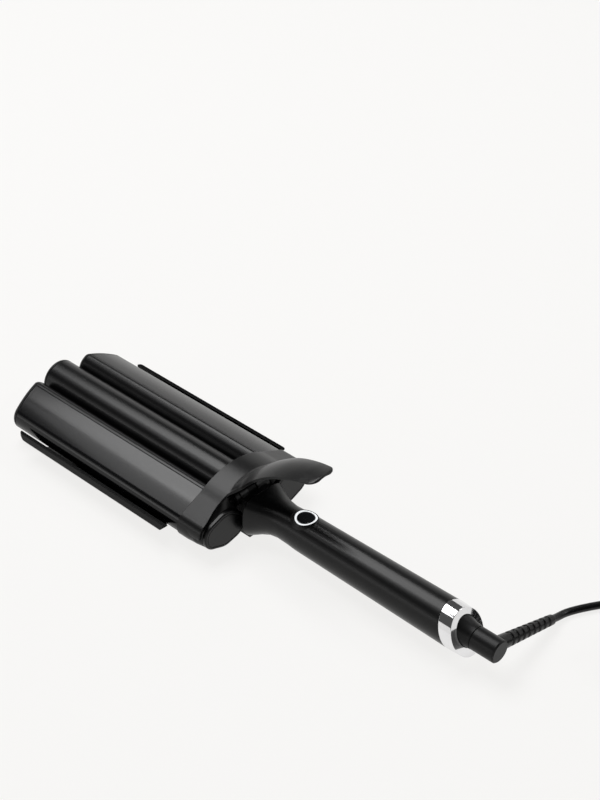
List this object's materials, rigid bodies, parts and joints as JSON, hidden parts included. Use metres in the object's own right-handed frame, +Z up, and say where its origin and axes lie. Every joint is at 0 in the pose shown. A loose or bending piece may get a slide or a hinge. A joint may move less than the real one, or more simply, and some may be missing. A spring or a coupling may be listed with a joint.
{
  "type": "triple-barrel hair waver",
  "caption": "Lever-operated hair waver: a sprung clamp with two oval barrels closes over a round barrel in a guarded jaw, on a slim handle with a lit button and swivel cord.",
  "frame": {"origin": "on the surface that the waver rests on, under the middle of its box without the cord", "axes": "+X from the barrel tips along the handle to the cord swivel, +Y to the right-hand side seen from above with the tips to the left, +Z up, the side of the thumb lever"},
  "size_m": [0.5685, 0.1826, 0.0735],
  "materials": {
    "satin_black": "satin moulded",
    "gloss_black": "black coated, semi-gloss",
    "barrel_black": "black ceramic coated, satin",
    "matt_black": "matt moulded",
    "cord_black": "matt flexible",
    "chrome": "polished",
    "steel": "plain",
    "light_white": "translucent white, lit",
    "heater_plate": "plain",
    "insulator": "matt heat-resistant",
    "board_green": "coated"
  },
  "bodies": {
    "base": {"lower_jaw": "satin_black", "pivot_block": "matt_black", "hinge_pin": "steel", "left_hinge_bush": "insulator", "right_hinge_bush": "insulator", "clamp_spring": "steel", "middle_barrel": "barrel_black", "middle_barrel_tip": "matt_black", "middle_barrel_collar": "insulator", "middle_barrel_spine": "insulator", "middle_heater": "heater_plate", "handle_upper_shell": "satin_black", "handle_lower_shell": "satin_black", "button_light_ring": "light_white", "power_switch": "insulator", "control_board": "board_green", "handle_frame": "insulator", "end_ring": "chrome", "cord_socket": "matt_black", "cord_lead": "cord_black", "cord_coil": "cord_black", "cord_tail": "cord_black", "cord_tie": "matt_black", "left_plug_pin": "steel", "right_plug_pin": "steel", "plug_body": "cord_black"},
    "clamp": {"clamp_bridge": "satin_black", "thumb_lever": "satin_black", "left_barrel": "barrel_black", "left_barrel_cover": "gloss_black", "left_barrel_tip": "matt_black", "left_barrel_spine": "insulator", "left_heater": "heater_plate", "left_end_cap": "satin_black", "right_barrel": "barrel_black", "right_barrel_cover": "gloss_black", "right_barrel_tip": "matt_black", "right_barrel_spine": "insulator", "right_heater": "heater_plate", "right_end_cap": "satin_black"},
    "button": {"power_button": "gloss_black"},
    "swivel": {"cord_swivel": "matt_black", "strain_relief": "cord_black"}
  },
  "joints": [
    {"name": "clamp_hinge", "type": "hinge", "parent": "base", "child": "clamp", "pos_m": [-0.0092, 0, 0.0265], "axis": [0, 1, 0], "range_deg": [0, 15], "stiffness_Nm_per_rad": 0.8, "springref_deg": -20.05},
    {"name": "power_press", "type": "slide", "parent": "base", "child": "button", "axis": [0, 0, -1], "range_m": [0, 0.0007], "stiffness_N_per_m": 1500, "springref_m": -0.0003},
    {"name": "cord_swivel_turn", "type": "hinge", "parent": "base", "child": "swivel", "pos_m": [0.1818, 0, 0.0198], "axis": [1, 0, 0], "continuous": true}
  ]
}
